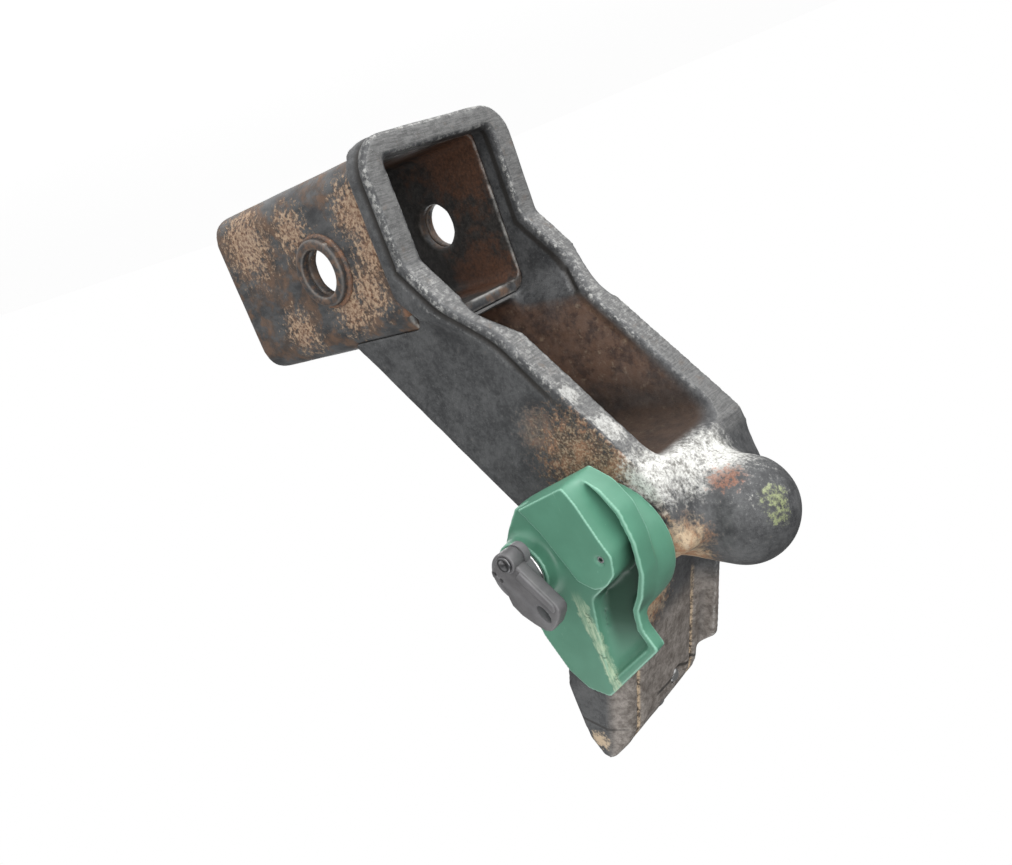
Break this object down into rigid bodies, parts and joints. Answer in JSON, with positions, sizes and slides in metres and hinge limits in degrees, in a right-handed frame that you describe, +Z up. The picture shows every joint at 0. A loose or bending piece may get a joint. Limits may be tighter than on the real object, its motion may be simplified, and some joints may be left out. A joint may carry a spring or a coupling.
{
  "type": "detachable tow hitch receiver",
  "caption": "Cast tow hitch arm with a square ball-mount socket, a rounded locating boss, a plug-in wedge and a turning lever with a key lock.",
  "frame": {"origin": "hitch-pin axis at the middle of the square socket", "axes": "+X along the socket towards the vehicle's front, +Z up, lever on the -Y side, hitch pin along Y"},
  "size_m": [0.1812, 0.0975, 0.2254],
  "materials": {
    "casting": "worn black paint",
    "tube": "worn black paint with rust",
    "lever_green": "fine moulded grain",
    "cover_grey": "fine moulded grain",
    "steel": "ground",
    "bright": "polished",
    "bronze": "sintered",
    "seal": "matt"
  },
  "bodies": {
    "arm": {"arm_casting": "casting", "receiver_tube": "tube", "pin_ring_near": "tube", "pin_ring_far": "tube", "plunger_guide": "bronze", "bore_cap": "steel", "shaft_carrier": "steel", "carrier_circlip": "steel", "shaft_seal": "seal", "shaft_bush_outer": "bronze", "shaft_bush_inner": "bronze", "torsion_spring": "steel"},
    "lever": {"lever": "lever_green", "lever_seal": "seal", "lever_hub": "steel", "hub_pin": "steel", "grip_pin": "steel", "crank_shaft": "steel", "lock_barrel": "steel", "lock_bezel": "bright", "cover_bracket": "cover_grey", "cover_pivot": "steel"},
    "plunger": {"locking_plunger": "steel"},
    "ball_front": {"locking_ball_front": "bright"},
    "ball_rear": {"locking_ball_rear": "bright"},
    "lock_core": {"lock_core": "bright", "lock_tongue": "steel", "tongue_screw": "steel"},
    "dust_cover": {"dust_cover": "cover_grey"}
  },
  "joints": [
    {"name": "lever_turn", "type": "hinge", "parent": "arm", "child": "lever", "pos_m": [-0.081, -0.04, 0.1018], "axis": [0, 1, 0], "range_deg": [0, 90]},
    {"name": "plunger_slide", "type": "slide", "parent": "arm", "child": "plunger", "axis": [-0.342, 0, -0.9397], "range_m": [0, 0.00992]},
    {"name": "ball_front_slide", "type": "slide", "parent": "arm", "child": "ball_front", "axis": [0.5785, -0.788, -0.2106], "range_m": [0, 0.00136]},
    {"name": "ball_rear_slide", "type": "slide", "parent": "arm", "child": "ball_rear", "axis": [-0.9397, 0, 0.342], "range_m": [0, 0.00136]},
    {"name": "key_turn", "type": "hinge", "parent": "lever", "child": "lock_core", "pos_m": [-0.063, -0.05, 0.0996], "axis": [0, 1, 0], "range_deg": [0, 90]},
    {"name": "cover_swing", "type": "hinge", "parent": "lever", "child": "dust_cover", "pos_m": [-0.0672, -0.058, 0.0918], "axis": [0, 1, 0], "range_deg": [0, 140]}
  ],
  "couplings": [
    {"joint": "plunger_slide", "follows": "lever_turn", "m_per_rad": 0.0063022},
    {"joint": "ball_front_slide", "follows": "lever_turn", "m_per_rad": 0.00085944},
    {"joint": "ball_rear_slide", "follows": "lever_turn", "m_per_rad": 0.00085944}
  ]
}
